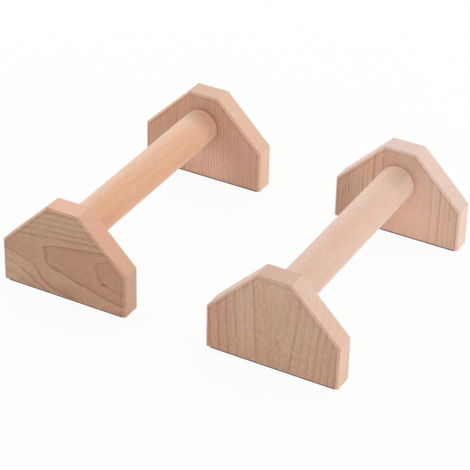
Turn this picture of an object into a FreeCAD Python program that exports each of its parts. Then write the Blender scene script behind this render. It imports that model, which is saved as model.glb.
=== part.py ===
"""A pair of low wooden parallette bars.

Each bar is a round grip with a turned tenon at either end. The tenons are glued into
blind mortises in a pair of six-sided feet, and the grip's chamfered shoulders bear on the
feet. A screw driven up from under each foot crosses the tenon and locks it, and a thin
anti-slip pad covers the screw and the base of the foot.

X runs across the pair, Y along the bars and Z up. The origin lies on the floor, midway
between the four feet. Lengths are in millimetres.
"""

import FreeCAD
import Part
import Sketcher

import os

# Driving sizes
SIZES = {
    # Feet
    "foot_width": 140.0,
    "foot_height": 98.5,
    "foot_side_height": 46.5,
    "foot_top_width": 36.0,
    "foot_thickness": 25.0,
    "foot_edge_chamfer": 2.0,
    # Round grip bars
    "bar_diameter": 38.0,
    "bar_clear_length": 250.0,
    "bar_top_cover": 16.0,
    "bar_shoulder_chamfer": 3.0,
    "bar_shoulder_land": 3.5,
    # Tenons and blind mortises
    "tenon_end_chamfer": 1.5,
    "mortise_floor": 5.0,
    "mortise_mouth_chamfer": 0.6,
    "mortise_end_gap": 0.3,
    "glue_gap": 0.1,
    # Lock screws and their holes
    "screw_diameter": 5.0,
    "screw_tip_cover": 9.0,
    "screw_point_length": 6.0,
    "screw_head_diameter": 9.5,
    "screw_head_top_diameter": 6.4,
    "screw_head_height": 3.4,
    "screw_head_rim": 1.4,
    "screw_recess_length": 4.8,
    "screw_recess_width": 1.1,
    "screw_recess_depth": 2.2,
    "screw_gap": 0.1,
    "screw_point_gap": 0.5,
    "counterbore_depth": 11.0,
    "counterbore_gap": 0.75,
    # Anti-slip pads
    "pad_thickness": 1.5,
    "pad_inset": 2.5,
    "pad_corner_radius": 3.0,
    # Pair
    "feet_gap": 90.0,
}

# Formulas in the sheet's names, shared by the pieces that meet
BAR_RADIUS = "(Sizes.bar_diameter / 2)"
BAR_AXIS_HEIGHT = f"(Sizes.foot_height - Sizes.bar_top_cover - {BAR_RADIUS})"
SHOULDER_DISTANCE = "(Sizes.bar_clear_length / 2)"
TENON_RADIUS = f"({BAR_RADIUS} - Sizes.bar_shoulder_chamfer - Sizes.bar_shoulder_land)"
MORTISE_DEPTH = "(Sizes.foot_thickness - Sizes.mortise_floor)"
MORTISE_RADIUS = f"({TENON_RADIUS} + Sizes.glue_gap)"
TENON_END_DISTANCE = f"({SHOULDER_DISTANCE} + {MORTISE_DEPTH} - Sizes.mortise_end_gap)"
SCREW_RADIUS = "(Sizes.screw_diameter / 2)"
SCREW_HOLE_RADIUS = f"({SCREW_RADIUS} + Sizes.screw_gap)"
SCREW_TIP_HEIGHT = f"({BAR_AXIS_HEIGHT} + {TENON_RADIUS} - Sizes.screw_tip_cover)"
SCREW_LENGTH = f"({SCREW_TIP_HEIGHT} - Sizes.counterbore_depth)"
SCREW_SETBACK = "(Sizes.foot_thickness / 2)"
COUNTERBORE_RADIUS = "(Sizes.screw_head_diameter / 2 + Sizes.counterbore_gap)"
BAR_OFFSET = "((Sizes.foot_width + Sizes.feet_gap) / 2)"

# Which way each bar lies from the middle of the pair
SIDES = {"left": "-1", "right": "1"}

# Which way each foot lies from the middle of a bar, and how it is turned to face the middle
AS_DRAWN = FreeCAD.Rotation()
HALF_TURN_ABOUT_Z = FreeCAD.Rotation(0, 0, 1, 0)
ENDS = {"front": ("-1", AS_DRAWN), "rear": ("1", HALF_TURN_ABOUT_Z)}


def make_sheet(doc):
    """Put the driving sizes in a spreadsheet, one named cell each."""
    sheet = doc.addObject("Spreadsheet::Sheet", "Sizes")
    for row, (alias, value) in enumerate(SIZES.items(), start=1):
        sheet.set(f"A{row}", alias)
        sheet.set(f"B{row}", str(value))
        sheet.setAlias(f"B{row}", alias)
    doc.recompute()


def new_body(doc, label, turn, x, y, z):
    """Start a body, turned as asked, that stands at the place its formulas give."""
    body = doc.addObject("PartDesign::Body", label)
    body.Label = label
    body.Placement = FreeCAD.Placement(FreeCAD.Vector(), turn)
    for axis, formula in zip("xyz", (x, y, z)):
        body.setExpression(f"Placement.Base.{axis}", formula)
    return body


def new_sketch(body, name, plane, **offsets):
    """Start a sketch on one of the body's own planes, moved in that plane's axes."""
    sketch = body.newObject("Sketcher::SketchObject", name)
    support = next(f for f in body.Origin.OriginFeatures if f.Role == plane)
    sketch.AttachmentSupport = [(support, "")]
    sketch.MapMode = "FlatFace"
    for axis, formula in offsets.items():
        sketch.setExpression(f"AttachmentOffset.Base.{axis}", formula)
    return sketch


def pin_point(sketch, curve, end, x, y):
    """Hold one point of a curve at the place that two formulas give."""
    for kind, formula, axis in (("DistanceX", x, -2), ("DistanceY", y, -1)):
        if formula == "0":
            sketch.addConstraint(Sketcher.Constraint("PointOnObject", curve, end, axis))
            continue
        value = sketch.evalExpression(formula)
        datum = sketch.addConstraint(Sketcher.Constraint(kind, -1, 1, curve, end, value))
        sketch.setExpression(f"Constraints[{datum}]", formula)


def draw_outline(sketch, corners):
    """Draw a closed outline of straight lines through corners given as formulas."""
    points = [
        FreeCAD.Vector(sketch.evalExpression(x), sketch.evalExpression(y), 0)
        for x, y in corners
    ]
    count = len(points)
    for i, point in enumerate(points):
        sketch.addGeometry(Part.LineSegment(point, points[(i + 1) % count]))
    for i in range(count):
        sketch.addConstraint(Sketcher.Constraint("Coincident", i, 2, (i + 1) % count, 1))
    for i, (x, y) in enumerate(corners):
        pin_point(sketch, i, 1, x, y)


def draw_circle(sketch, x, y, radius):
    """Draw a circle whose centre and radius are formulas."""
    centre = FreeCAD.Vector(sketch.evalExpression(x), sketch.evalExpression(y), 0)
    normal = FreeCAD.Vector(0, 0, 1)
    circle = sketch.addGeometry(Part.Circle(centre, normal, sketch.evalExpression(radius)))
    pin_point(sketch, circle, 3, x, y)
    datum = sketch.addConstraint(
        Sketcher.Constraint("Radius", circle, sketch.evalExpression(radius))
    )
    sketch.setExpression(f"Constraints[{datum}]", radius)


def extrude(body, kind, name, sketch, length, away=False):
    """Pad or pocket a sketch by a length given as a formula, and return the feature."""
    feature = body.newObject(f"PartDesign::{kind}", name)
    feature.Profile = sketch
    feature.setExpression("Length", length)
    feature.Reversed = away
    return feature


def revolve(body, kind, name, sketch, axis):
    """Turn a sketch fully about one of its own axes, and return the feature."""
    feature = body.newObject(f"PartDesign::{kind}", name)
    feature.Profile = sketch
    feature.ReferenceAxis = (sketch, [axis])
    return feature


def make_foot(doc, label, x, end):
    """A six-sided foot, with its inner face on the body's XZ plane and its base on XY."""
    sign, turn = ENDS[end]
    y = f"{sign} * {SHOULDER_DISTANCE}"
    body = new_body(doc, label, turn, x, y, "Sizes.pad_thickness")

    half_width = "Sizes.foot_width / 2"
    half_top = "Sizes.foot_top_width / 2"
    outline = new_sketch(body, f"{label}_outline", "XZ_Plane")
    draw_outline(
        outline,
        [
            (f"-{half_width}", "0"),
            (half_width, "0"),
            (half_width, "Sizes.foot_side_height"),
            (half_top, "Sizes.foot_height"),
            (f"-{half_top}", "Sizes.foot_height"),
            (f"-{half_width}", "Sizes.foot_side_height"),
        ],
    )
    board = extrude(body, "Pad", f"{label}_board", outline, "Sizes.foot_thickness")
    doc.recompute()

    # The edges round both broad faces are chamfered
    broad_faces = [
        f"Face{i}"
        for i, face in enumerate(board.Shape.Faces, start=1)
        if abs(face.normalAt(0, 0).y) > 0.5
    ]
    chamfer = body.newObject("PartDesign::Chamfer", f"{label}_chamfer")
    chamfer.Base = (board, broad_faces)
    chamfer.setExpression("Size", "Sizes.foot_edge_chamfer")

    cut_mortise(body, label)
    cut_screw_hole(body, label)
    return body


def cut_mortise(body, label):
    """Bore the blind mortise that holds the bar's tenon, with an eased mouth."""
    profile = new_sketch(body, f"{label}_mortise_profile", "YZ_Plane", y=BAR_AXIS_HEIGHT)
    ease = "Sizes.mortise_mouth_chamfer"
    draw_outline(
        profile,
        [
            ("0", "0"),
            ("0", f"{MORTISE_RADIUS} + {ease}"),
            (f"-{ease}", MORTISE_RADIUS),
            (f"-{MORTISE_DEPTH}", MORTISE_RADIUS),
            (f"-{MORTISE_DEPTH}", "0"),
        ],
    )
    revolve(body, "Groove", f"{label}_mortise", profile, "H_Axis")


def cut_screw_hole(body, label):
    """Drill the counterbored screw hole from the base up into the mortise."""
    profile = new_sketch(body, f"{label}_hole_profile", "YZ_Plane", x=f"-{SCREW_SETBACK}")
    draw_outline(
        profile,
        [
            ("0", "0"),
            (COUNTERBORE_RADIUS, "0"),
            (COUNTERBORE_RADIUS, "Sizes.counterbore_depth"),
            (SCREW_HOLE_RADIUS, "Sizes.counterbore_depth"),
            (SCREW_HOLE_RADIUS, BAR_AXIS_HEIGHT),
            ("0", BAR_AXIS_HEIGHT),
        ],
    )
    revolve(body, "Groove", f"{label}_screw_hole", profile, "V_Axis")


def make_bar(doc, label, x):
    """A turned round bar along Y, with a shouldered tenon and a pilot hole at each end."""
    body = new_body(doc, label, AS_DRAWN, x, "0", f"Sizes.pad_thickness + {BAR_AXIS_HEIGHT}")
    end_ease, shoulder_ease = "Sizes.tenon_end_chamfer", "Sizes.bar_shoulder_chamfer"
    half = [
        ("0", TENON_END_DISTANCE),
        (f"{TENON_RADIUS} - {end_ease}", TENON_END_DISTANCE),
        (TENON_RADIUS, f"({TENON_END_DISTANCE} - {end_ease})"),
        (TENON_RADIUS, SHOULDER_DISTANCE),
        (f"{BAR_RADIUS} - {shoulder_ease}", SHOULDER_DISTANCE),
        (BAR_RADIUS, f"({SHOULDER_DISTANCE} - {shoulder_ease})"),
    ]
    front_half = [(radius, f"-{distance}") for radius, distance in half]
    profile = new_sketch(body, f"{label}_profile", "XY_Plane")
    draw_outline(profile, front_half + half[::-1])
    revolve(body, "Revolution", f"{label}_turning", profile, "V_Axis")

    pilots = new_sketch(body, f"{label}_pilots", "XY_Plane", z=f"-{TENON_RADIUS}")
    for sign, _ in ENDS.values():
        y = f"{sign} * ({SHOULDER_DISTANCE} + {SCREW_SETBACK})"
        draw_circle(pilots, "0", y, SCREW_HOLE_RADIUS)
    depth = f"2 * {TENON_RADIUS} - Sizes.screw_tip_cover + Sizes.screw_point_gap"
    extrude(body, "Pocket", f"{label}_pilot_holes", pilots, depth, away=True)
    return body


def make_screw(doc, label, x, end):
    """A pan-head wood screw, point up, seated on the floor of its counterbore."""
    sign, turn = ENDS[end]
    y = f"{sign} * ({SHOULDER_DISTANCE} + {SCREW_SETBACK})"
    body = new_body(doc, label, turn, x, y, "Sizes.pad_thickness + Sizes.counterbore_depth")
    head_radius = "Sizes.screw_head_diameter / 2"
    profile = new_sketch(body, f"{label}_profile", "XZ_Plane")
    draw_outline(
        profile,
        [
            ("0", "-Sizes.screw_head_height"),
            ("Sizes.screw_head_top_diameter / 2", "-Sizes.screw_head_height"),
            (head_radius, "-Sizes.screw_head_rim"),
            (head_radius, "0"),
            (SCREW_RADIUS, "0"),
            (SCREW_RADIUS, f"{SCREW_LENGTH} - Sizes.screw_point_length"),
            ("0", SCREW_LENGTH),
        ],
    )
    revolve(body, "Revolution", f"{label}_turning", profile, "V_Axis")

    recess = new_sketch(body, f"{label}_recess", "XY_Plane", z="-Sizes.screw_head_height")
    arm, half = "Sizes.screw_recess_length / 2", "Sizes.screw_recess_width / 2"
    draw_outline(
        recess,
        [
            (half, half),
            (arm, half),
            (arm, f"-{half}"),
            (half, f"-{half}"),
            (half, f"-{arm}"),
            (f"-{half}", f"-{arm}"),
            (f"-{half}", f"-{half}"),
            (f"-{arm}", f"-{half}"),
            (f"-{arm}", half),
            (f"-{half}", half),
            (f"-{half}", arm),
            (half, arm),
        ],
    )
    depth = "Sizes.screw_recess_depth"
    extrude(body, "Pocket", f"{label}_cross_recess", recess, depth, away=True)
    return body


def make_pad(doc, label, x, end):
    """A thin pad under a foot, set in from its edges, with rounded corners."""
    sign, _ = ENDS[end]
    y = f"{sign} * ({SHOULDER_DISTANCE} + Sizes.foot_thickness / 2)"
    body = new_body(doc, label, AS_DRAWN, x, y, "0")
    half_length = "(Sizes.foot_width / 2 - Sizes.pad_inset)"
    half_breadth = "(Sizes.foot_thickness / 2 - Sizes.pad_inset)"
    outline = new_sketch(body, f"{label}_outline", "XY_Plane")
    draw_outline(
        outline,
        [
            (f"-{half_length}", f"-{half_breadth}"),
            (half_length, f"-{half_breadth}"),
            (half_length, half_breadth),
            (f"-{half_length}", half_breadth),
        ],
    )
    strip = extrude(body, "Pad", f"{label}_strip", outline, "Sizes.pad_thickness")
    doc.recompute()
    upright_edges = [
        f"Edge{i}"
        for i, edge in enumerate(strip.Shape.Edges, start=1)
        if abs(edge.tangentAt(edge.FirstParameter).z) > 0.5
    ]
    corners = body.newObject("PartDesign::Fillet", f"{label}_corners")
    corners.Base = (strip, upright_edges)
    corners.setExpression("Radius", "Sizes.pad_corner_radius")
    return body


def make_pair(doc):
    """Make every piece of the two bars, and return their bodies."""
    pieces = []
    for side, sign in SIDES.items():
        x = f"{sign} * {BAR_OFFSET}"
        pieces.append(make_bar(doc, f"{side}_grip_bar", x))
        for end in ENDS:
            pieces.append(make_foot(doc, f"{side}_{end}_foot", x, end))
            pieces.append(make_screw(doc, f"{side}_{end}_lock_screw", x, end))
            pieces.append(make_pad(doc, f"{side}_{end}_anti_slip_pad", x, end))
    doc.recompute()
    return pieces


def check(doc, pieces):
    """Stop if a feature failed, a cut removed nothing, or a piece isn't one valid solid."""
    for item in doc.Objects:
        if {"Invalid", "Error"} & set(item.State):
            raise RuntimeError(f"{item.Label} failed: {item.State}")
        if item.TypeId in ("PartDesign::Pocket", "PartDesign::Groove"):
            if item.Shape.Volume >= item.BaseFeature.Shape.Volume:
                raise RuntimeError(f"{item.Label} cuts nothing")
    for piece in pieces:
        shape = piece.Shape
        if shape.isNull() or not shape.isValid() or len(shape.Solids) != 1:
            raise RuntimeError(f"{piece.Label} is not one valid solid")


def export(pieces):
    """Write each piece to its own STEP file, named by its label."""
    os.makedirs("parts", exist_ok=True)
    for piece in pieces:
        piece.Shape.exportStep(f"parts/{piece.Label}.step")
        box = piece.Shape.BoundBox
        lengths = f"{box.XLength:.1f} x {box.YLength:.1f} x {box.ZLength:.1f} mm"
        print(f"{piece.Label}: {lengths}, {piece.Shape.Volume:.0f} mm3")


def main():
    doc = FreeCAD.newDocument("parallette_pair")
    make_sheet(doc)
    pieces = make_pair(doc)
    check(doc, pieces)
    export(pieces)


main()
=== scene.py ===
"""A pair of wooden parallette bars: the finish of every piece, the studio and the camera.

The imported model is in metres, with the floor at z = 0. The textures work in millimetres, because
wood grain is easiest to read in them.
"""
import math
from dataclasses import dataclass, replace

import bpy
from mathutils import Euler, Matrix, Vector


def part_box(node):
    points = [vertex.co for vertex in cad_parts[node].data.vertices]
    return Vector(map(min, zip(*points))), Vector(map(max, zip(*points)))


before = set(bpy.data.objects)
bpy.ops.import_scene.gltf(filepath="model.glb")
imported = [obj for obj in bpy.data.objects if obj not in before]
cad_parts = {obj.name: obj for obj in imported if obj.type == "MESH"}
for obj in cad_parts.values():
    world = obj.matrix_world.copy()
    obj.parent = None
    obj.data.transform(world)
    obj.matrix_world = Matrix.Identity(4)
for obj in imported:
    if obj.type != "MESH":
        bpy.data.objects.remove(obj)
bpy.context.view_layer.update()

MM = 0.001

# Camera: the photograph's own view, in a square frame
PHOTO_PIXELS = 470
FOCAL_PIXELS = 2019
SENSOR_WIDTH = 36.0
CAMERA_PLACE = Vector((0.8047, -1.5210, 1.1193))
CAMERA_HEADING = math.radians(28.05)
CAMERA_DIP = math.radians(32.32)
CAMERA_ROLL = math.radians(1.42)

# Studio: a tent of soft boxes over a pale floor, with the camera inside it. The floor lies a hair
# under the pads, so that no two faces share a plane
FLOOR_SPAN = 12.0
FLOOR_DROP = 0.05 * MM
FLOOR_COLOUR = (0.86, 0.84, 0.825, 1.0)
FLOOR_WHITE_SHARE = 0.93
WHITE = (1.0, 1.0, 1.0, 1.0)
WHITE_STRENGTH = 1.0
AMBIENT_COLOUR = (1.0, 0.80, 0.66, 1.0)
AMBIENT_STRENGTH = 0.10
TENT_CENTRE = Vector((0.0, 0.1, 0.06))

# Sanded edges, and how near to the side of its box a foot's corner lies
ARRIS = 0.4 * MM
SHOULDER_EASE = 0.8 * MM
PAD_EDGE = 0.25 * MM
EASE_STEPS = 2
ARRIS_ANGLE = math.radians(25)
FLAT_ANGLE = math.radians(0.5)
FLAT_FACE_WEIGHT = 100
WELD_DISTANCE = 0.001 * MM
CORNER_REACH = 0.4 * MM


@dataclass
class SoftBox:
    """One wall of the tent: where it stands, its width and height, and its face's light."""
    place: tuple
    width: float
    height: float
    radiance: float
    colour: tuple = (1.0, 1.0, 1.0)


SOFT_BOXES = {
    "overhead": SoftBox((0.0, 0.1, 1.5), 2.4, 2.2, 0.77),
    "right": SoftBox((1.3, 0.3, 0.7), 2.0, 1.4, 1.75, (0.97, 1.0, 1.05)),
    "left": SoftBox((-1.3, 0.3, 0.7), 2.0, 1.4, 1.55),
    "back": SoftBox((0.0, 1.4, 0.7), 2.6, 1.4, 1.0),
    "front": SoftBox((0.0, -2.0, 0.8), 2.4, 1.4, 0.714, (1.0, 0.82, 0.675)),
}


@dataclass
class Spot:
    """An oval place on a piece as its near face shows it: its middle and its reach, in millimetres."""
    along: float
    across: float
    length: float
    width: float


@dataclass
class Eddy(Spot):
    """A spot where the distance from the heart grows by an amount, so that the rings bend."""
    amount: float


@dataclass
class Patch(Spot):
    """A spot with a tint of its own: some are the wood's tone, some are painted light and shade. It lies on
    a board's near face, or runs right through a bar.
    """
    tint: tuple


@dataclass
class Mark(Spot):
    """A short dark mineral streak."""
    strength: float = 1.0


@dataclass
class Grain:
    """Cloudy noise drawn out along the fibres: its length, its width and its finer detail."""
    length: float
    width: float
    detail: float = 2.0
    roughness: float = 0.5


@dataclass
class FootOutline:
    """The six-sided outline of a foot, in millimetres."""
    half_width: float
    side_height: float
    half_top: float
    height: float


NO_TINT = (1.0, 1.0, 1.0)


@dataclass
class Log:
    """How a piece was cut from its log. Lengths are in millimetres, from the piece's reference point.

    The fibres run along one axis of the piece. The heart of the log lies at heart_across from the
    reference point and heart_depth in front of it, and leans across as it runs along that axis.
    Rings are circles about the heart, squared off by bluntness, and taper makes them wider along the
    trunk. On the high and the low side of the heart, a distance counts as spread times its power of
    curve. Wander is how uneven the rings are. A dark line ends each ring, and bands are the slow
    darkening towards it.
    """
    along: str
    seed: float
    tone: tuple
    heart_across: float
    heart_depth: float
    first_ring: float
    ring_gap: float
    line_depth: float
    band_depth: float
    figure: float

    # The shape of the rings
    bluntness: float = 2.0
    taper: float = 0.0
    lean: float = 0.0
    wander: float = 1.0
    spread: tuple = (1.0, 1.0)
    curve: tuple = (1.0, 1.0)
    eddies: tuple = ()

    # The boldness of lines: inside the first ring and from it on, of the first rings one by one, and
    # on the low side of the heart, up to the first ring and beyond it
    line_width: float = 2.0
    inner_lines: float = 1.0
    outer_lines: float = 1.0
    bold_rings: tuple = (1.0,)
    low_side_lines: tuple = (1.0, 1.0)

    # What sides and ends show of the lines and the figure, and the tints of faces and places, partly
    # painted light and shade
    side_figure: float = 0.4
    end_figure: float = 0.2
    heart_tint: tuple = NO_TINT
    # The end tint is darker end grain with painted light and shade in it; the side and slope tints are
    # painted light and shade
    end_tint: tuple = (0.86, 0.86, 0.86)
    side_light_tint: tuple = NO_TINT
    slope_light_tint: tuple = NO_TINT
    patches: tuple = ()
    marks: tuple = ()

    # The finish: its sheen, and how evenly it scatters light
    sheen: float = 0.2
    evenness: float = 0.0


# Axes of a piece as (along the fibres, across, depth), where 0, 1 and 2 are x, y and z
AXES = {"x": (0, 2, 1), "y": (1, 0, 2), "z": (2, 0, 1)}

# A patch of this width goes all round a bar
ALL_ROUND = 100.0

FOOT_LOGS = {
    "left_front_foot": Log(
        along="x", seed=1.0, tone=(0.665, 0.46, 0.33),
        heart_across=53.0, heart_depth=30.0, first_ring=31.725, ring_gap=4.425,
        bluntness=3.5, taper=0.075, spread=(4.88, 0.77), curve=(0.62, 1.0),
        line_width=4.5, line_depth=0.95, band_depth=0.3, inner_lines=0.45, outer_lines=0.65,
        bold_rings=(1.0, 0.6, 0.45), low_side_lines=(1.0, 1.6),
        figure=1.25, side_figure=0.15, end_figure=0.9,
        heart_tint=(0.93, 0.85, 0.81), end_tint=(0.95, 0.90, 0.86),
        side_light_tint=(1.05, 0.90, 0.84), slope_light_tint=(0.98, 0.95, 0.93),
        eddies=(Eddy(-60.0, 22.0, 28.0, 28.0, 3.4), Eddy(-36.0, 30.0, 22.0, 22.0, 2.0),
                Eddy(-14.0, 8.0, 28.0, 28.0, -3.8), Eddy(28.0, 0.0, 60.0, 20.0, -8.0),
                Eddy(2.0, 28.0, 20.0, 20.0, 0.6), Eddy(-16.0, 38.0, 14.0, 9.0, -0.35)),
        patches=(Patch(-58.0, 16.0, 34.0, 26.0, (1.07, 1.15, 1.19)),
                 Patch(-44.0, 48.0, 40.0, 18.0, (0.94, 0.91, 0.90)),
                 Patch(0.0, 90.0, 60.0, 26.0, (1.04, 1.04, 1.04)),
                 Patch(45.0, 28.0, 50.0, 50.0, (1.01, 0.98, 0.92))),
        marks=(Mark(46.5, 32.5, 5.5, 1.9),)),
    "left_rear_foot": Log(
        along="z", seed=2.0, tone=(0.725, 0.50, 0.378),
        heart_across=-150.0, heart_depth=10.0, first_ring=0.0, ring_gap=3.4, wander=1.8,
        line_depth=0.56, band_depth=0.17, figure=0.95,
        end_tint=(0.805, 0.795, 0.745), side_light_tint=(1.10, 1.10, 1.065), slope_light_tint=(0.98, 0.97, 0.963),
        # The first patch is painted light, as from the floor, low on the face beside the bar
        patches=(Patch(17.0, 5.0, 46.0, 46.0, (1.28, 1.34, 1.40)),
                 Patch(58.0, -50.0, 48.0, 40.0, (0.96, 0.91, 0.86)))),
    "right_front_foot": Log(
        along="z", seed=3.0, tone=(0.755, 0.545, 0.415),
        heart_across=2.64, heart_depth=12.0, first_ring=21.24, ring_gap=8.5,
        taper=0.076, lean=0.03, spread=(0.773, 0.92), curve=(1.086, 1.0),
        line_width=3.8, line_depth=0.85, band_depth=0.22, inner_lines=0.2, outer_lines=0.45,
        bold_rings=(0.75, 0.12, 0.35, 0.6, 0.5, 0.5), low_side_lines=(1.0, 1.3), figure=1.25,
        end_tint=(0.74, 0.735, 0.725), side_light_tint=(1.0, 0.985, 0.95), slope_light_tint=(1.01, 1.02, 1.05),
        patches=(Patch(30.0, -56.0, 60.0, 30.0, (0.97, 0.87, 0.85)),
                 Patch(94.0, 0.0, 28.0, 34.0, (1.06, 1.09, 1.12)),
                 Patch(50.0, -28.0, 60.0, 14.0, (1.05, 1.06, 1.10)),
                 Patch(25.0, 62.0, 40.0, 22.0, (0.96, 0.92, 0.89))),
        marks=(Mark(32.0, 6.0, 8.0, 0.9, 0.35),)),
    "right_rear_foot": Log(
        along="z", seed=4.0, tone=(0.785, 0.60, 0.50),
        heart_across=10.0, heart_depth=49.0, first_ring=53.3, ring_gap=2.85, bluntness=4.0, wander=0.5,
        line_width=3.8, line_depth=0.55, band_depth=0.3, inner_lines=0.5, outer_lines=0.65,
        low_side_lines=(1.8, 2.0), figure=0.75,
        end_tint=(0.80, 0.81, 0.845), slope_light_tint=(0.92, 0.915, 0.895),
        # The first patch is painted light, as from the floor, low on the face; the second is painted shade
        # on the left, where the bar keeps off light from the right
        patches=(Patch(18.0, 16.0, 62.0, 60.0, (1.25, 1.23, 1.19)),
                 Patch(34.0, -62.0, 50.0, 34.0, (0.82, 0.82, 0.74)),
                 Patch(70.0, -36.0, 30.0, 20.0, (1.02, 0.97, 0.90)),
                 Patch(70.0, 30.0, 26.0, 28.0, (1.05, 1.07, 1.07)))),
}
BAR_LOGS = {
    "left_grip_bar": Log(
        along="y", seed=5.0, tone=(0.823, 0.554, 0.352),
        heart_across=-34.0, heart_depth=12.0, first_ring=0.0, ring_gap=4.5, taper=0.01,
        line_depth=0.1, band_depth=0.08, figure=0.5, side_figure=1.0,
        # Painted light and shade: the side tint, the first patch's paler and cooler light towards the rear,
        # and the second patch's shade beside the rear foot
        side_light_tint=(0.99, 0.925, 0.87), sheen=0.35, evenness=1.0,
        patches=(Patch(120.0, 0.0, 100.0, ALL_ROUND, (1.0, 1.06, 1.16)),
                 Patch(111.0, 5.0, 20.0, 26.0, (0.80, 0.73, 0.71)))),
    "right_grip_bar": Log(
        along="y", seed=6.0, tone=(0.785, 0.575, 0.436),
        heart_across=31.0, heart_depth=16.0, first_ring=0.0, ring_gap=5.0, taper=-0.01,
        line_depth=0.1, band_depth=0.08, figure=0.5, side_figure=1.0,
        # Painted light and shade: the side tint, the first patch's paler and cooler light towards the rear,
        # and the second patch's shade beside the rear foot
        side_light_tint=(1.015, 1.04, 1.07), sheen=0.5, evenness=1.0,
        patches=(Patch(120.0, 0.0, 100.0, ALL_ROUND, (0.985, 1.02, 1.05)),
                 Patch(104.0, 8.0, 26.0, 16.0, (0.87, 0.81, 0.79)))),
}

# Tints of the wood's tone, and how far its plain ground is from the pale one to that of the lines
PALE_TINT = (1.08, 1.08, 1.08)
LINE_TINT = (0.78, 0.63, 0.53)
BLUSH_TINT = (1.02, 0.945, 0.93)
MARK_TINT = (0.5, 0.38, 0.3)
# A painted highlight where a bar's eased shoulders meet the feet
RIM_HIGHLIGHT_TINT = (1.10, 1.14, 1.18)
GROUND_DARKNESS = 0.25

# Sizes of the wood's texture, in millimetres
SLOW_WANDER = Grain(70.0, 28.0)
RIPPLE = Grain(24.0, 10.0)
FADING = Grain(45.0, 9.0)
FIBRES = Grain(9.0, 0.35, 3.0)
STREAKS = Grain(60.0, 2.2, 3.0, 0.6)
MOTTLE = Grain(6.0, 1.6)
FLECKS = Grain(2.4, 0.3, 1.0)
BLOTCHES = Grain(55.0, 24.0, 4.0)
WANDER_HEIGHT = 2.0
RIPPLE_HEIGHT = 2.4
LINE_EDGE = 0.6
SIDE_BLUR = 1.0
LEAST_ASIDE = 0.1
PATCH_DEPTH = 15.0
MARK_DEPTH = 4.0
RIM_WIDTH = 5.0
EDGE_LINE_START = 1.6
EDGE_LINE_PEAK = 2.4
EDGE_LINE_END = 5.5

# How dark each part of the figure is
STREAK_DEPTH = 0.6
MOTTLE_DEPTH = 1.2
FIBRE_DEPTH = 0.6
FLECK_DEPTH = 0.16
EDGE_LINE_DEPTH = 0.4

# Noise runs from 0 to 1: its middle, its usual values, and where what is made of it starts and is full
MIDDLE = 0.5
USUAL_NOISE = (0.2, 0.8)
FLECK_EDGE = (0.66, 0.74)
BLOTCH_EDGE = (0.38, 0.62)
FADING_EDGE = (0.35, 0.6)
GRAIN_SEED_STEP = 17.3
RING_SEED_STEP = 31.7

# Rings: the number of the first one, the least boldness of lines, and the slopes that set their width
FIRST_RING = -1
FAINTEST_LINE = 0.3
FADED_LINE = 0.25
LEAST_OF_BOLD_LINE = 0.8
TIP_WIDENING = 1.6
GENTLEST_SLOPE = 0.03

# Tints: where the heart's starts inside the first ring, a spot's full core as a share of its reach,
# and what makes 1 of the product of end and side on a slope half-way between them
HEART_EDGE = -0.3
SPOT_CORE = 0.2
SLOPE_FACTOR = 4.0

# The sanded surface of wood
WOOD_ROUGHNESS = (0.42, 0.56)
WOOD_SPECULAR = 0.5
WOOD_SHEEN_ROUGHNESS = 0.5
FIBRE_RELIEF = 0.6
FLECK_RELIEF = 0.5
WOOD_BUMP = 0.25
WOOD_RELIEF = 0.06 * MM

# Rubber of the pads
RUBBER_BLACK = (0.016, 0.016, 0.017, 1.0)
RUBBER_DUSTY = (0.035, 0.034, 0.033, 1.0)
RUBBER_GRAIN = Grain(0.5, 0.5, 3.0)
RUBBER_DUST = Grain(9.0, 9.0, 4.0)
DUST_EDGE = (0.35, 0.75)
RUBBER_ROUGHNESS = (0.7, 0.9)
RUBBER_SPECULAR = 0.3
RUBBER_BUMP = 0.5
RUBBER_RELIEF = 0.08 * MM

# Steel of the screws
STEEL_GREY = (0.56, 0.56, 0.55, 1.0)
STEEL_BRIGHT = (0.68, 0.67, 0.64, 1.0)
STEEL_CLOUDS = Grain(3.0, 3.0, 3.0)
STEEL_CLOUD_EDGE = (0.3, 0.7)
TURNING_WIDTH = 6.0
TURNING_STEP = 0.12
TURNING_DETAIL = 2.0
STEEL_ROUGHNESS = (0.28, 0.42)
STEEL_BUMP = 0.2
STEEL_RELIEF = 0.02 * MM


class Field:
    """A value that varies over a surface, carried by an output socket of a material's nodes."""

    def __init__(self, tree, socket):
        self.tree = tree
        self.socket = socket

    def math(self, operation, *others):
        """A Math node fed by this field and the others, which are fields or plain numbers."""
        node = self.tree.nodes.new("ShaderNodeMath")
        node.operation = operation
        for socket, value in zip(node.inputs, (self,) + others):
            feed(socket, value)
        return Field(self.tree, node.outputs[0])

    def __add__(self, other):
        return self.math("ADD", other)

    def __sub__(self, other):
        return self.math("SUBTRACT", other)

    def __mul__(self, other):
        return self.math("MULTIPLY", other)

    def __truediv__(self, other):
        return self.math("DIVIDE", other)

    def __pow__(self, other):
        return self.math("POWER", other)

    def __abs__(self):
        return self.math("ABSOLUTE")

    def ramp(self, start, end, low=0.0, high=1.0):
        """A smooth step from low at start to high at end."""
        node = self.tree.nodes.new("ShaderNodeMapRange")
        node.interpolation_type = "SMOOTHSTEP"
        feed(node.inputs["Value"], self)
        node.inputs["From Min"].default_value = start
        node.inputs["From Max"].default_value = end
        node.inputs["To Min"].default_value = low
        node.inputs["To Max"].default_value = high
        return Field(self.tree, node.outputs["Result"])

    def fall(self, start, end, high=1.0):
        """A smooth step from high at start down to 0 at end."""
        return self.ramp(start, end, high, 0.0)

    def hump(self, start, peak, end):
        """0 at start, 1 at the peak and 0 again at end."""
        return self.ramp(start, peak) * self.fall(peak, end)


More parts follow.
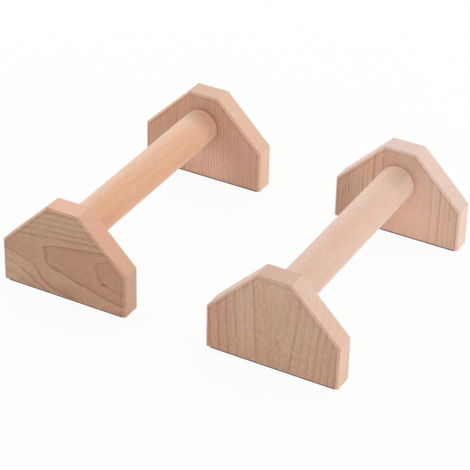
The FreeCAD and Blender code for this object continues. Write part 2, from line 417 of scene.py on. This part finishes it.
def feed(socket, value):
    """Links a field to a socket, or sets a plain value on it."""
    if isinstance(value, Field):
        value.tree.links.new(value.socket, socket)
    else:
        socket.default_value = value


def combine(x, y, z):
    """A vector field made of three numbers, of which the first is a field."""
    node = x.tree.nodes.new("ShaderNodeCombineXYZ")
    for socket, value in zip(node.inputs, (x, y, z)):
        feed(socket, value)
    return Field(x.tree, node.outputs[0])


def separate(vector):
    """The three numbers of a vector field, as fields."""
    node = vector.tree.nodes.new("ShaderNodeSeparateXYZ")
    feed(node.inputs[0], vector)
    return [Field(vector.tree, socket) for socket in node.outputs]


def magnitude(vector):
    """The length of a vector field."""
    node = vector.tree.nodes.new("ShaderNodeVectorMath")
    node.operation = "LENGTH"
    feed(node.inputs[0], vector)
    return Field(vector.tree, node.outputs["Value"])


def noise(vector, detail, roughness=0.5):
    """Cloudy noise from 0 to 1, whose clouds are about one unit of the vector wide."""
    node = vector.tree.nodes.new("ShaderNodeTexNoise")
    feed(node.inputs["Vector"], vector)
    node.inputs["Scale"].default_value = 1.0
    node.inputs["Detail"].default_value = detail
    node.inputs["Roughness"].default_value = roughness
    return Field(vector.tree, node.outputs["Fac"])


def grain_noise(place, grain, seed=0.0):
    """Cloudy noise drawn out along the fibres. Place is along, across and depth, in millimetres."""
    along, across, depth = place
    shift = seed * GRAIN_SEED_STEP
    vector = combine(along / grain.length + shift, across / grain.width, depth / grain.width)
    return noise(vector, grain.detail, grain.roughness)


def chance(number):
    """A random number from 0 to 1 for each whole number."""
    node = number.tree.nodes.new("ShaderNodeTexWhiteNoise")
    node.noise_dimensions = "1D"
    feed(node.inputs["W"], number)
    return Field(number.tree, node.outputs["Value"])


def spot_distance(spot, place, deep=0.0):
    """Distance from the middle of a spot as a share of its reach. Deep is such a share in depth."""
    along, across = place[:2]
    reach = combine((along - spot.along) / spot.length, (across - spot.across) / spot.width, deep)
    return magnitude(reach)


def mix_colours(factor, first, second):
    """The first colour at factor 0 and the second at factor 1, each a field or four numbers."""
    node = factor.tree.nodes.new("ShaderNodeMix")
    node.data_type = "RGBA"
    node.clamp_factor = True
    feed(node.inputs["Factor"], factor)
    colour_inputs = [s for s in node.inputs if s.type == "RGBA"]
    feed(colour_inputs[0], first)
    feed(colour_inputs[1], second)
    colour_output = [s for s in node.outputs if s.type == "RGBA"][0]
    return Field(factor.tree, colour_output)


def shade(colour, tint):
    """A plain colour times a tint, as the four numbers of a colour socket."""
    return tuple(c * t for c, t in zip(colour, tint)) + (1.0,)


def tinted(colour, where, tint):
    """A colour field with a tint over it, by how much the field where says."""
    node = colour.tree.nodes.new("ShaderNodeVectorMath")
    node.operation = "MULTIPLY"
    feed(node.inputs[0], colour)
    node.inputs[1].default_value = tint
    return mix_colours(where, colour, Field(colour.tree, node.outputs[0]))


def new_material(name):
    """A material with one Principled shader. Returns the material, its nodes and the shader."""
    material = bpy.data.materials.new(name)
    material.use_nodes = True
    tree = material.node_tree
    return material, tree, tree.nodes["Principled BSDF"]


def piece_place(tree, reference):
    """Place on a piece in millimetres from its reference point: x, y and z as fields."""
    coordinates = tree.nodes.new("ShaderNodeTexCoord")
    mapping = tree.nodes.new("ShaderNodeMapping")
    mapping.inputs["Location"].default_value = -reference / MM
    mapping.inputs["Scale"].default_value = Vector((1.0, 1.0, 1.0)) / MM
    tree.links.new(coordinates.outputs["Object"], mapping.inputs["Vector"])
    return separate(Field(tree, mapping.outputs["Vector"]))


def piece_facing(tree):
    """How much the surface faces along x, y and z, as fields that add up to 1."""
    coordinates = tree.nodes.new("ShaderNodeTexCoord")
    normal = Field(tree, coordinates.outputs["Normal"])
    return [number ** 2.0 for number in separate(normal)]


def add_bump(tree, shader, height, strength, distance):
    """Fine relief on the surface. Distance is the height of a step of 1, in metres."""
    bump = tree.nodes.new("ShaderNodeBump")
    bump.inputs["Strength"].default_value = strength
    bump.inputs["Distance"].default_value = distance
    feed(bump.inputs["Height"], height)
    tree.links.new(bump.outputs["Normal"], shader.inputs["Normal"])


def heart_distance(place, log):
    """Place above or below the heart, the distance from it, and how fast that grows on the broad face."""
    along, across, depth = place
    ripple = (grain_noise(place, RIPPLE, log.seed) - MIDDLE) * (RIPPLE_HEIGHT * log.wander)
    side = across + ripple - (along * log.lean + log.heart_across)
    above = side.math("MAXIMUM", 0.0) ** log.curve[0] * log.spread[0]
    below = (side * -1.0).math("MAXIMUM", 0.0) ** log.curve[1] * log.spread[1]
    aside = above + below
    behind = abs(depth + log.heart_depth)
    radius = (aside ** log.bluntness + behind ** log.bluntness) ** (1.0 / log.bluntness)

    widening = (above * log.curve[0] + below * log.curve[1]) / abs(side).math("MAXIMUM", LEAST_ASIDE)
    across_slope = (aside / radius) ** (log.bluntness - 1.0) * widening
    slope = (across_slope ** 2.0 + (TIP_WIDENING * log.taper) ** 2.0) ** 0.5
    return side, radius, slope.math("MAXIMUM", GENTLEST_SLOPE)


def line_boldness(place, side, ring, log):
    """How bold a ring's line is, by chance, by its number and by its side, with faded stretches."""
    strength = chance(ring + log.seed * RING_SEED_STEP).ramp(0.0, 1.0, FAINTEST_LINE, 1.0)
    strength = strength * ring.ramp(FIRST_RING - 1, FIRST_RING, log.inner_lines, log.outer_lines)
    fading = grain_noise(place, FADING, log.seed).ramp(*FADING_EDGE, FADED_LINE, 1.0)
    for number, boldness in enumerate(log.bold_rings, start=FIRST_RING):
        here = abs(ring - number).fall(0.0, 1.0)
        strength = strength + here * (strength * -1.0 + boldness)
        fading = fading.math("MAXIMUM", here * (LEAST_OF_BOLD_LINE * boldness))
    low_side = side.fall(-SIDE_BLUR, SIDE_BLUR)
    low_side_line = ring.ramp(FIRST_RING, FIRST_RING + 1, *log.low_side_lines)
    return strength * fading * ((low_side_line - 1.0) * low_side + 1.0)


def annual_rings(place, log):
    """The dark lines of late wood, the darkening towards each, and a count of rings from the first line."""
    along = place[0]
    side, radius, slope = heart_distance(place, log)
    radius = radius + (grain_noise(place, SLOW_WANDER, log.seed) - MIDDLE) * (WANDER_HEIGHT * log.wander)
    for eddy in log.eddies:
        radius = radius + spot_distance(eddy, place).fall(0.0, 1.0, eddy.amount)
    count = (radius - along * log.taper - log.first_ring) / log.ring_gap
    ring = count.math("FLOOR")
    growth = count - ring
    to_line = (growth * -1.0 + 1.0) * log.ring_gap / slope
    late_wood = to_line.hump(0.0, LINE_EDGE, log.line_width)
    lines = late_wood * line_boldness(place, side, ring, log) * log.line_depth
    bands = (growth - MIDDLE) * log.band_depth
    return lines, bands, count


def wood_figure(place, log):
    """The fibres and ray flecks of the wood, and the darkness that they, streaks and mottle make."""
    fibres = grain_noise(place, FIBRES, log.seed)
    streaks = grain_noise(place, STREAKS, log.seed) - MIDDLE
    mottle = grain_noise(place, MOTTLE, log.seed) - MIDDLE
    flecks = grain_noise(place, FLECKS, log.seed).ramp(*FLECK_EDGE)
    coarse = streaks * STREAK_DEPTH + mottle * MOTTLE_DEPTH
    figure = coarse + (fibres - MIDDLE) * FIBRE_DEPTH + flecks * FLECK_DEPTH
    return fibres, flecks, figure * log.figure


def outline_distance(x, z, outline):
    """Distance in from a foot's six-sided outline, apart from the side that it stands on."""
    run = outline.half_width - outline.half_top
    rise = outline.height - outline.side_height
    from_side = abs(x) * -1.0 + outline.half_width
    from_top = z * -1.0 + outline.height
    from_slope = (from_side * rise + (z * -1.0 + outline.side_height) * run) / math.hypot(run, rise)
    return from_side.math("MINIMUM", from_top).math("MINIMUM", from_slope)


def tint_places(colour, place, count, near_face, log):
    """The slow changes of colour within a piece: blotches, the heart, patches and mineral marks. Some of
    the patches are painted light and shade.
    """
    blotches = grain_noise(place, BLOTCHES, log.seed).ramp(*BLOTCH_EDGE)
    colour = tinted(colour, blotches, BLUSH_TINT)
    colour = tinted(colour, count.fall(HEART_EDGE, 0.0), log.heart_tint)
    for patch in log.patches:
        inside = spot_distance(patch, place).fall(SPOT_CORE, 1.0) * near_face
        colour = tinted(colour, inside, patch.tint)
    for mark in log.marks:
        distance = spot_distance(mark, place, place[2] / MARK_DEPTH)
        colour = tinted(colour, distance.fall(SPOT_CORE, 1.0, mark.strength), MARK_TINT)
    return colour


def tint_faces(colour, end_face, side_face, log):
    """The tints of the ends, the sides and the slopes between them: painted light and shade by the way a
    face points, with darker end grain in the end tint too.
    """
    colour = tinted(colour, end_face, log.end_tint)
    colour = tinted(colour, side_face, log.side_light_tint)
    return tinted(colour, end_face * side_face * SLOPE_FACTOR, log.slope_light_tint)


def make_wood(name, reference, log, outline=None):
    """Sanded hardwood whose rings, fibres and flecks run through the piece in three dimensions.

    A board has an outline: a thin line of wood just inside it is darker, and patches stay near its front.
    """
    material, tree, shader = new_material(name)
    position = piece_place(tree, reference)
    facing = piece_facing(tree)
    place = [position[axis] for axis in AXES[log.along]]
    end_face, side_face, broad_face = (facing[axis] for axis in AXES[log.along])

    lines, bands, count = annual_rings(place, log)
    fibres, flecks, figure = wood_figure(place, log)
    shown = broad_face + side_face * log.side_figure + end_face ** 2.0 * log.end_figure
    darkness = (lines + bands + figure) * shown
    near_face = 1.0
    if outline:
        edge = outline_distance(position[0], position[2], outline)
        # A thin darker line just inside the outline, along the chamfers
        edge_line = edge.hump(EDGE_LINE_START, EDGE_LINE_PEAK, EDGE_LINE_END)
        darkness = darkness + edge_line * broad_face * EDGE_LINE_DEPTH
        near_face = place[2].fall(0.0, PATCH_DEPTH) * broad_face

    pale = shade(log.tone, PALE_TINT)
    dark = shade(log.tone, LINE_TINT)
    colour = mix_colours(darkness + GROUND_DARKNESS, pale, dark)
    colour = tint_places(colour, place, count, near_face, log)
    feed(shader.inputs["Base Color"], tint_faces(colour, end_face, side_face, log))
    feed(shader.inputs["Roughness"], fibres.ramp(*USUAL_NOISE, *WOOD_ROUGHNESS))
    shader.inputs["Specular IOR Level"].default_value = WOOD_SPECULAR
    shader.inputs["Diffuse Roughness"].default_value = log.evenness
    shader.inputs["Sheen Weight"].default_value = log.sheen
    shader.inputs["Sheen Roughness"].default_value = WOOD_SHEEN_ROUGHNESS
    relief = fibres * FIBRE_RELIEF - flecks * FLECK_RELIEF - lines
    add_bump(tree, shader, relief, WOOD_BUMP, WOOD_RELIEF)
    return material


def make_rubber(name, reference):
    """Matt black rubber sheet with a fine grain and a little dust. Under the feet its black also serves as
    painted shade, the dark contact line at their bottom edges.
    """
    material, tree, shader = new_material(name)
    place = piece_place(tree, reference)
    grain = grain_noise(place, RUBBER_GRAIN)
    dust = grain_noise(place, RUBBER_DUST).ramp(*DUST_EDGE)
    feed(shader.inputs["Base Color"], mix_colours(dust, RUBBER_BLACK, RUBBER_DUSTY))
    feed(shader.inputs["Roughness"], grain.ramp(*USUAL_NOISE, *RUBBER_ROUGHNESS))
    shader.inputs["Specular IOR Level"].default_value = RUBBER_SPECULAR
    add_bump(tree, shader, grain, RUBBER_BUMP, RUBBER_RELIEF)
    return material


def make_steel(name, reference):
    """Zinc-plated steel with the fine rings that turning leaves."""
    material, tree, shader = new_material(name)
    x, y, z = piece_place(tree, reference)
    turned = noise(combine(x / TURNING_WIDTH, y / TURNING_WIDTH, z / TURNING_STEP), TURNING_DETAIL)
    clouds = grain_noise((x, y, z), STEEL_CLOUDS).ramp(*STEEL_CLOUD_EDGE)
    feed(shader.inputs["Base Color"], mix_colours(clouds, STEEL_GREY, STEEL_BRIGHT))
    shader.inputs["Metallic"].default_value = 1.0
    feed(shader.inputs["Roughness"], turned.ramp(*USUAL_NOISE, *STEEL_ROUGHNESS))
    add_bump(tree, shader, turned, STEEL_BUMP, STEEL_RELIEF)
    return material


def sand_edges(piece, width):
    """Takes the sharpness off a piece's edges, as sanding does, and keeps its flat faces flat."""
    weld = piece.modifiers.new("weld", "WELD")
    weld.merge_threshold = WELD_DISTANCE
    flatten = piece.modifiers.new("flatten", "DECIMATE")
    flatten.decimate_type = "DISSOLVE"
    flatten.angle_limit = FLAT_ANGLE
    bevel = piece.modifiers.new("sanded_edges", "BEVEL")
    bevel.width = width
    bevel.segments = EASE_STEPS
    bevel.limit_method = "ANGLE"
    bevel.angle_limit = ARRIS_ANGLE
    normals = piece.modifiers.new("face_normals", "WEIGHTED_NORMAL")
    normals.weight = FLAT_FACE_WEIGHT


def finish_piece(name, material, edge=None):
    """Gives a CAD piece its material and, where an edge's width is given, its sanded edges."""
    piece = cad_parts[name]
    piece.data.materials.clear()
    piece.data.materials.append(material)
    if edge:
        sand_edges(piece, edge)


def foot_outline(name):
    """The outline of a foot, as its corners give it. Heights are from the floor."""
    low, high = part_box(name)
    middle = (low.x + high.x) / 2
    corners = [vertex.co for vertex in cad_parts[name].data.vertices]
    side_height = max(corner.z for corner in corners if corner.x > high.x - CORNER_REACH)
    half_top = max(abs(corner.x - middle) for corner in corners if corner.z > high.z - CORNER_REACH)
    return FootOutline((high.x - middle) / MM, side_height / MM, half_top / MM, high.z / MM)


def rim_highlight_patches(side, middle):
    """The pale rims of a bar where its sanded shoulders meet the feet: a painted highlight on the eased
    edge. Middle is the bar's own, in y.
    """
    front_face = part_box(side + "_front_foot")[1].y
    rear_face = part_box(side + "_rear_foot")[0].y
    places = [(face - middle) / MM for face in (front_face, rear_face)]
    return tuple(Patch(place, 0.0, RIM_WIDTH, ALL_ROUND, RIM_HIGHLIGHT_TINT) for place in places)


def finish_pieces():
    """Materials and sanded edges for every piece of the pair."""
    for name, log in FOOT_LOGS.items():
        low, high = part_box(name)
        face_middle = Vector(((low.x + high.x) / 2, low.y, 0.0))
        finish_piece(name, make_wood(name + "_wood", face_middle, log, foot_outline(name)), ARRIS)
    for name, log in BAR_LOGS.items():
        low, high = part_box(name)
        middle = (low + high) / 2
        rims = rim_highlight_patches(name.removesuffix("_grip_bar"), middle.y)
        rimmed = replace(log, patches=log.patches + rims)
        finish_piece(name, make_wood(name + "_wood", middle, rimmed), SHOULDER_EASE)
    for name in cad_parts:
        low_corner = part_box(name)[0]
        if name.endswith("anti_slip_pad"):
            finish_piece(name, make_rubber(name + "_rubber", low_corner), PAD_EDGE)
        if name.endswith("lock_screw"):
            finish_piece(name, make_steel(name + "_steel", low_corner))


def place_object(name, data):
    """A new object in the scene that holds a mesh, a lamp or a camera."""
    placed = bpy.data.objects.new(name, data)
    bpy.context.scene.collection.objects.link(placed)
    return placed


def empty_nodes(owner):
    """The node tree of a material or a world, with nothing in it."""
    owner.use_nodes = True
    owner.node_tree.nodes.clear()
    return owner.node_tree


def glowing(tree, kind, colour, strength):
    """An Emission or Background shader."""
    node = tree.nodes.new(kind)
    node.inputs["Color"].default_value = colour
    node.inputs["Strength"].default_value = strength
    return node


def white_when_seen(tree, output, lit, white, share=1.0):
    """Joins two shaders: the lit one for light, and a share of the white one where it is seen directly.

    Rays from the camera, a mirror or a glass see it directly.
    """
    path = tree.nodes.new("ShaderNodeLightPath")
    rays = [Field(tree, path.outputs[f"Is {kind} Ray"]) for kind in ("Camera", "Glossy", "Transmission")]
    seen = rays[0].math("MAXIMUM", rays[1]).math("MAXIMUM", rays[2])
    mix = tree.nodes.new("ShaderNodeMixShader")
    feed(mix.inputs[0], seen * share)
    tree.links.new(lit.outputs[0], mix.inputs[1])
    tree.links.new(white.outputs[0], mix.inputs[2])
    tree.links.new(mix.outputs[0], output.inputs["Surface"])


def make_floor():
    """A pale floor that looks nearly white and keeps a faint shadow of the object."""
    material = bpy.data.materials.new("pale_floor")
    tree = empty_nodes(material)
    paint = tree.nodes.new("ShaderNodeBsdfDiffuse")
    paint.inputs["Color"].default_value = FLOOR_COLOUR
    white = glowing(tree, "ShaderNodeEmission", WHITE, WHITE_STRENGTH)
    output = tree.nodes.new("ShaderNodeOutputMaterial")
    white_when_seen(tree, output, paint, white, FLOOR_WHITE_SHARE)

    half = FLOOR_SPAN / 2
    mesh = bpy.data.meshes.new("floor")
    corners = [(-half, -half, 0.0), (half, -half, 0.0), (half, half, 0.0), (-half, half, 0.0)]
    mesh.from_pydata(corners, [], [(0, 1, 2, 3)])
    mesh.materials.append(material)
    floor = place_object("floor", mesh)
    floor.location.z = -FLOOR_DROP


def make_world():
    """A dim warm room that looks white where it is seen directly."""
    world = bpy.data.worlds.new("studio")
    tree = empty_nodes(world)
    room = glowing(tree, "ShaderNodeBackground", AMBIENT_COLOUR, AMBIENT_STRENGTH)
    backdrop = glowing(tree, "ShaderNodeBackground", WHITE, WHITE_STRENGTH)
    output = tree.nodes.new("ShaderNodeOutputWorld")
    white_when_seen(tree, output, room, backdrop)
    bpy.context.scene.world = world


def make_lights():
    """The tent's walls as area lamps that face the object."""
    for name, box in SOFT_BOXES.items():
        lamp = bpy.data.lights.new("soft_box_" + name, "AREA")
        lamp.shape = "RECTANGLE"
        lamp.size = box.width
        lamp.size_y = box.height
        lamp.color = box.colour
        lamp.energy = box.radiance * math.pi * box.width * box.height
        stand = place_object("soft_box_" + name, lamp)
        stand.location = box.place
        aim = TENT_CENTRE - stand.location
        stand.rotation_euler = aim.to_track_quat("-Z", "Y").to_euler()
        stand.visible_camera = False


def make_camera():
    """The photograph's viewpoint."""
    lens = bpy.data.cameras.new("camera")
    lens.sensor_width = SENSOR_WIDTH
    lens.lens = FOCAL_PIXELS / PHOTO_PIXELS * SENSOR_WIDTH
    camera = place_object("camera", lens)
    look = Euler((math.pi / 2 - CAMERA_DIP, 0.0, CAMERA_HEADING)).to_matrix().to_4x4()
    roll = Matrix.Rotation(CAMERA_ROLL, 4, "Z")
    camera.matrix_world = Matrix.Translation(CAMERA_PLACE) @ look @ roll
    bpy.context.scene.camera = camera


finish_pieces()
make_floor()
make_world()
make_lights()
make_camera()
bpy.context.scene.view_settings.view_transform = "Standard"
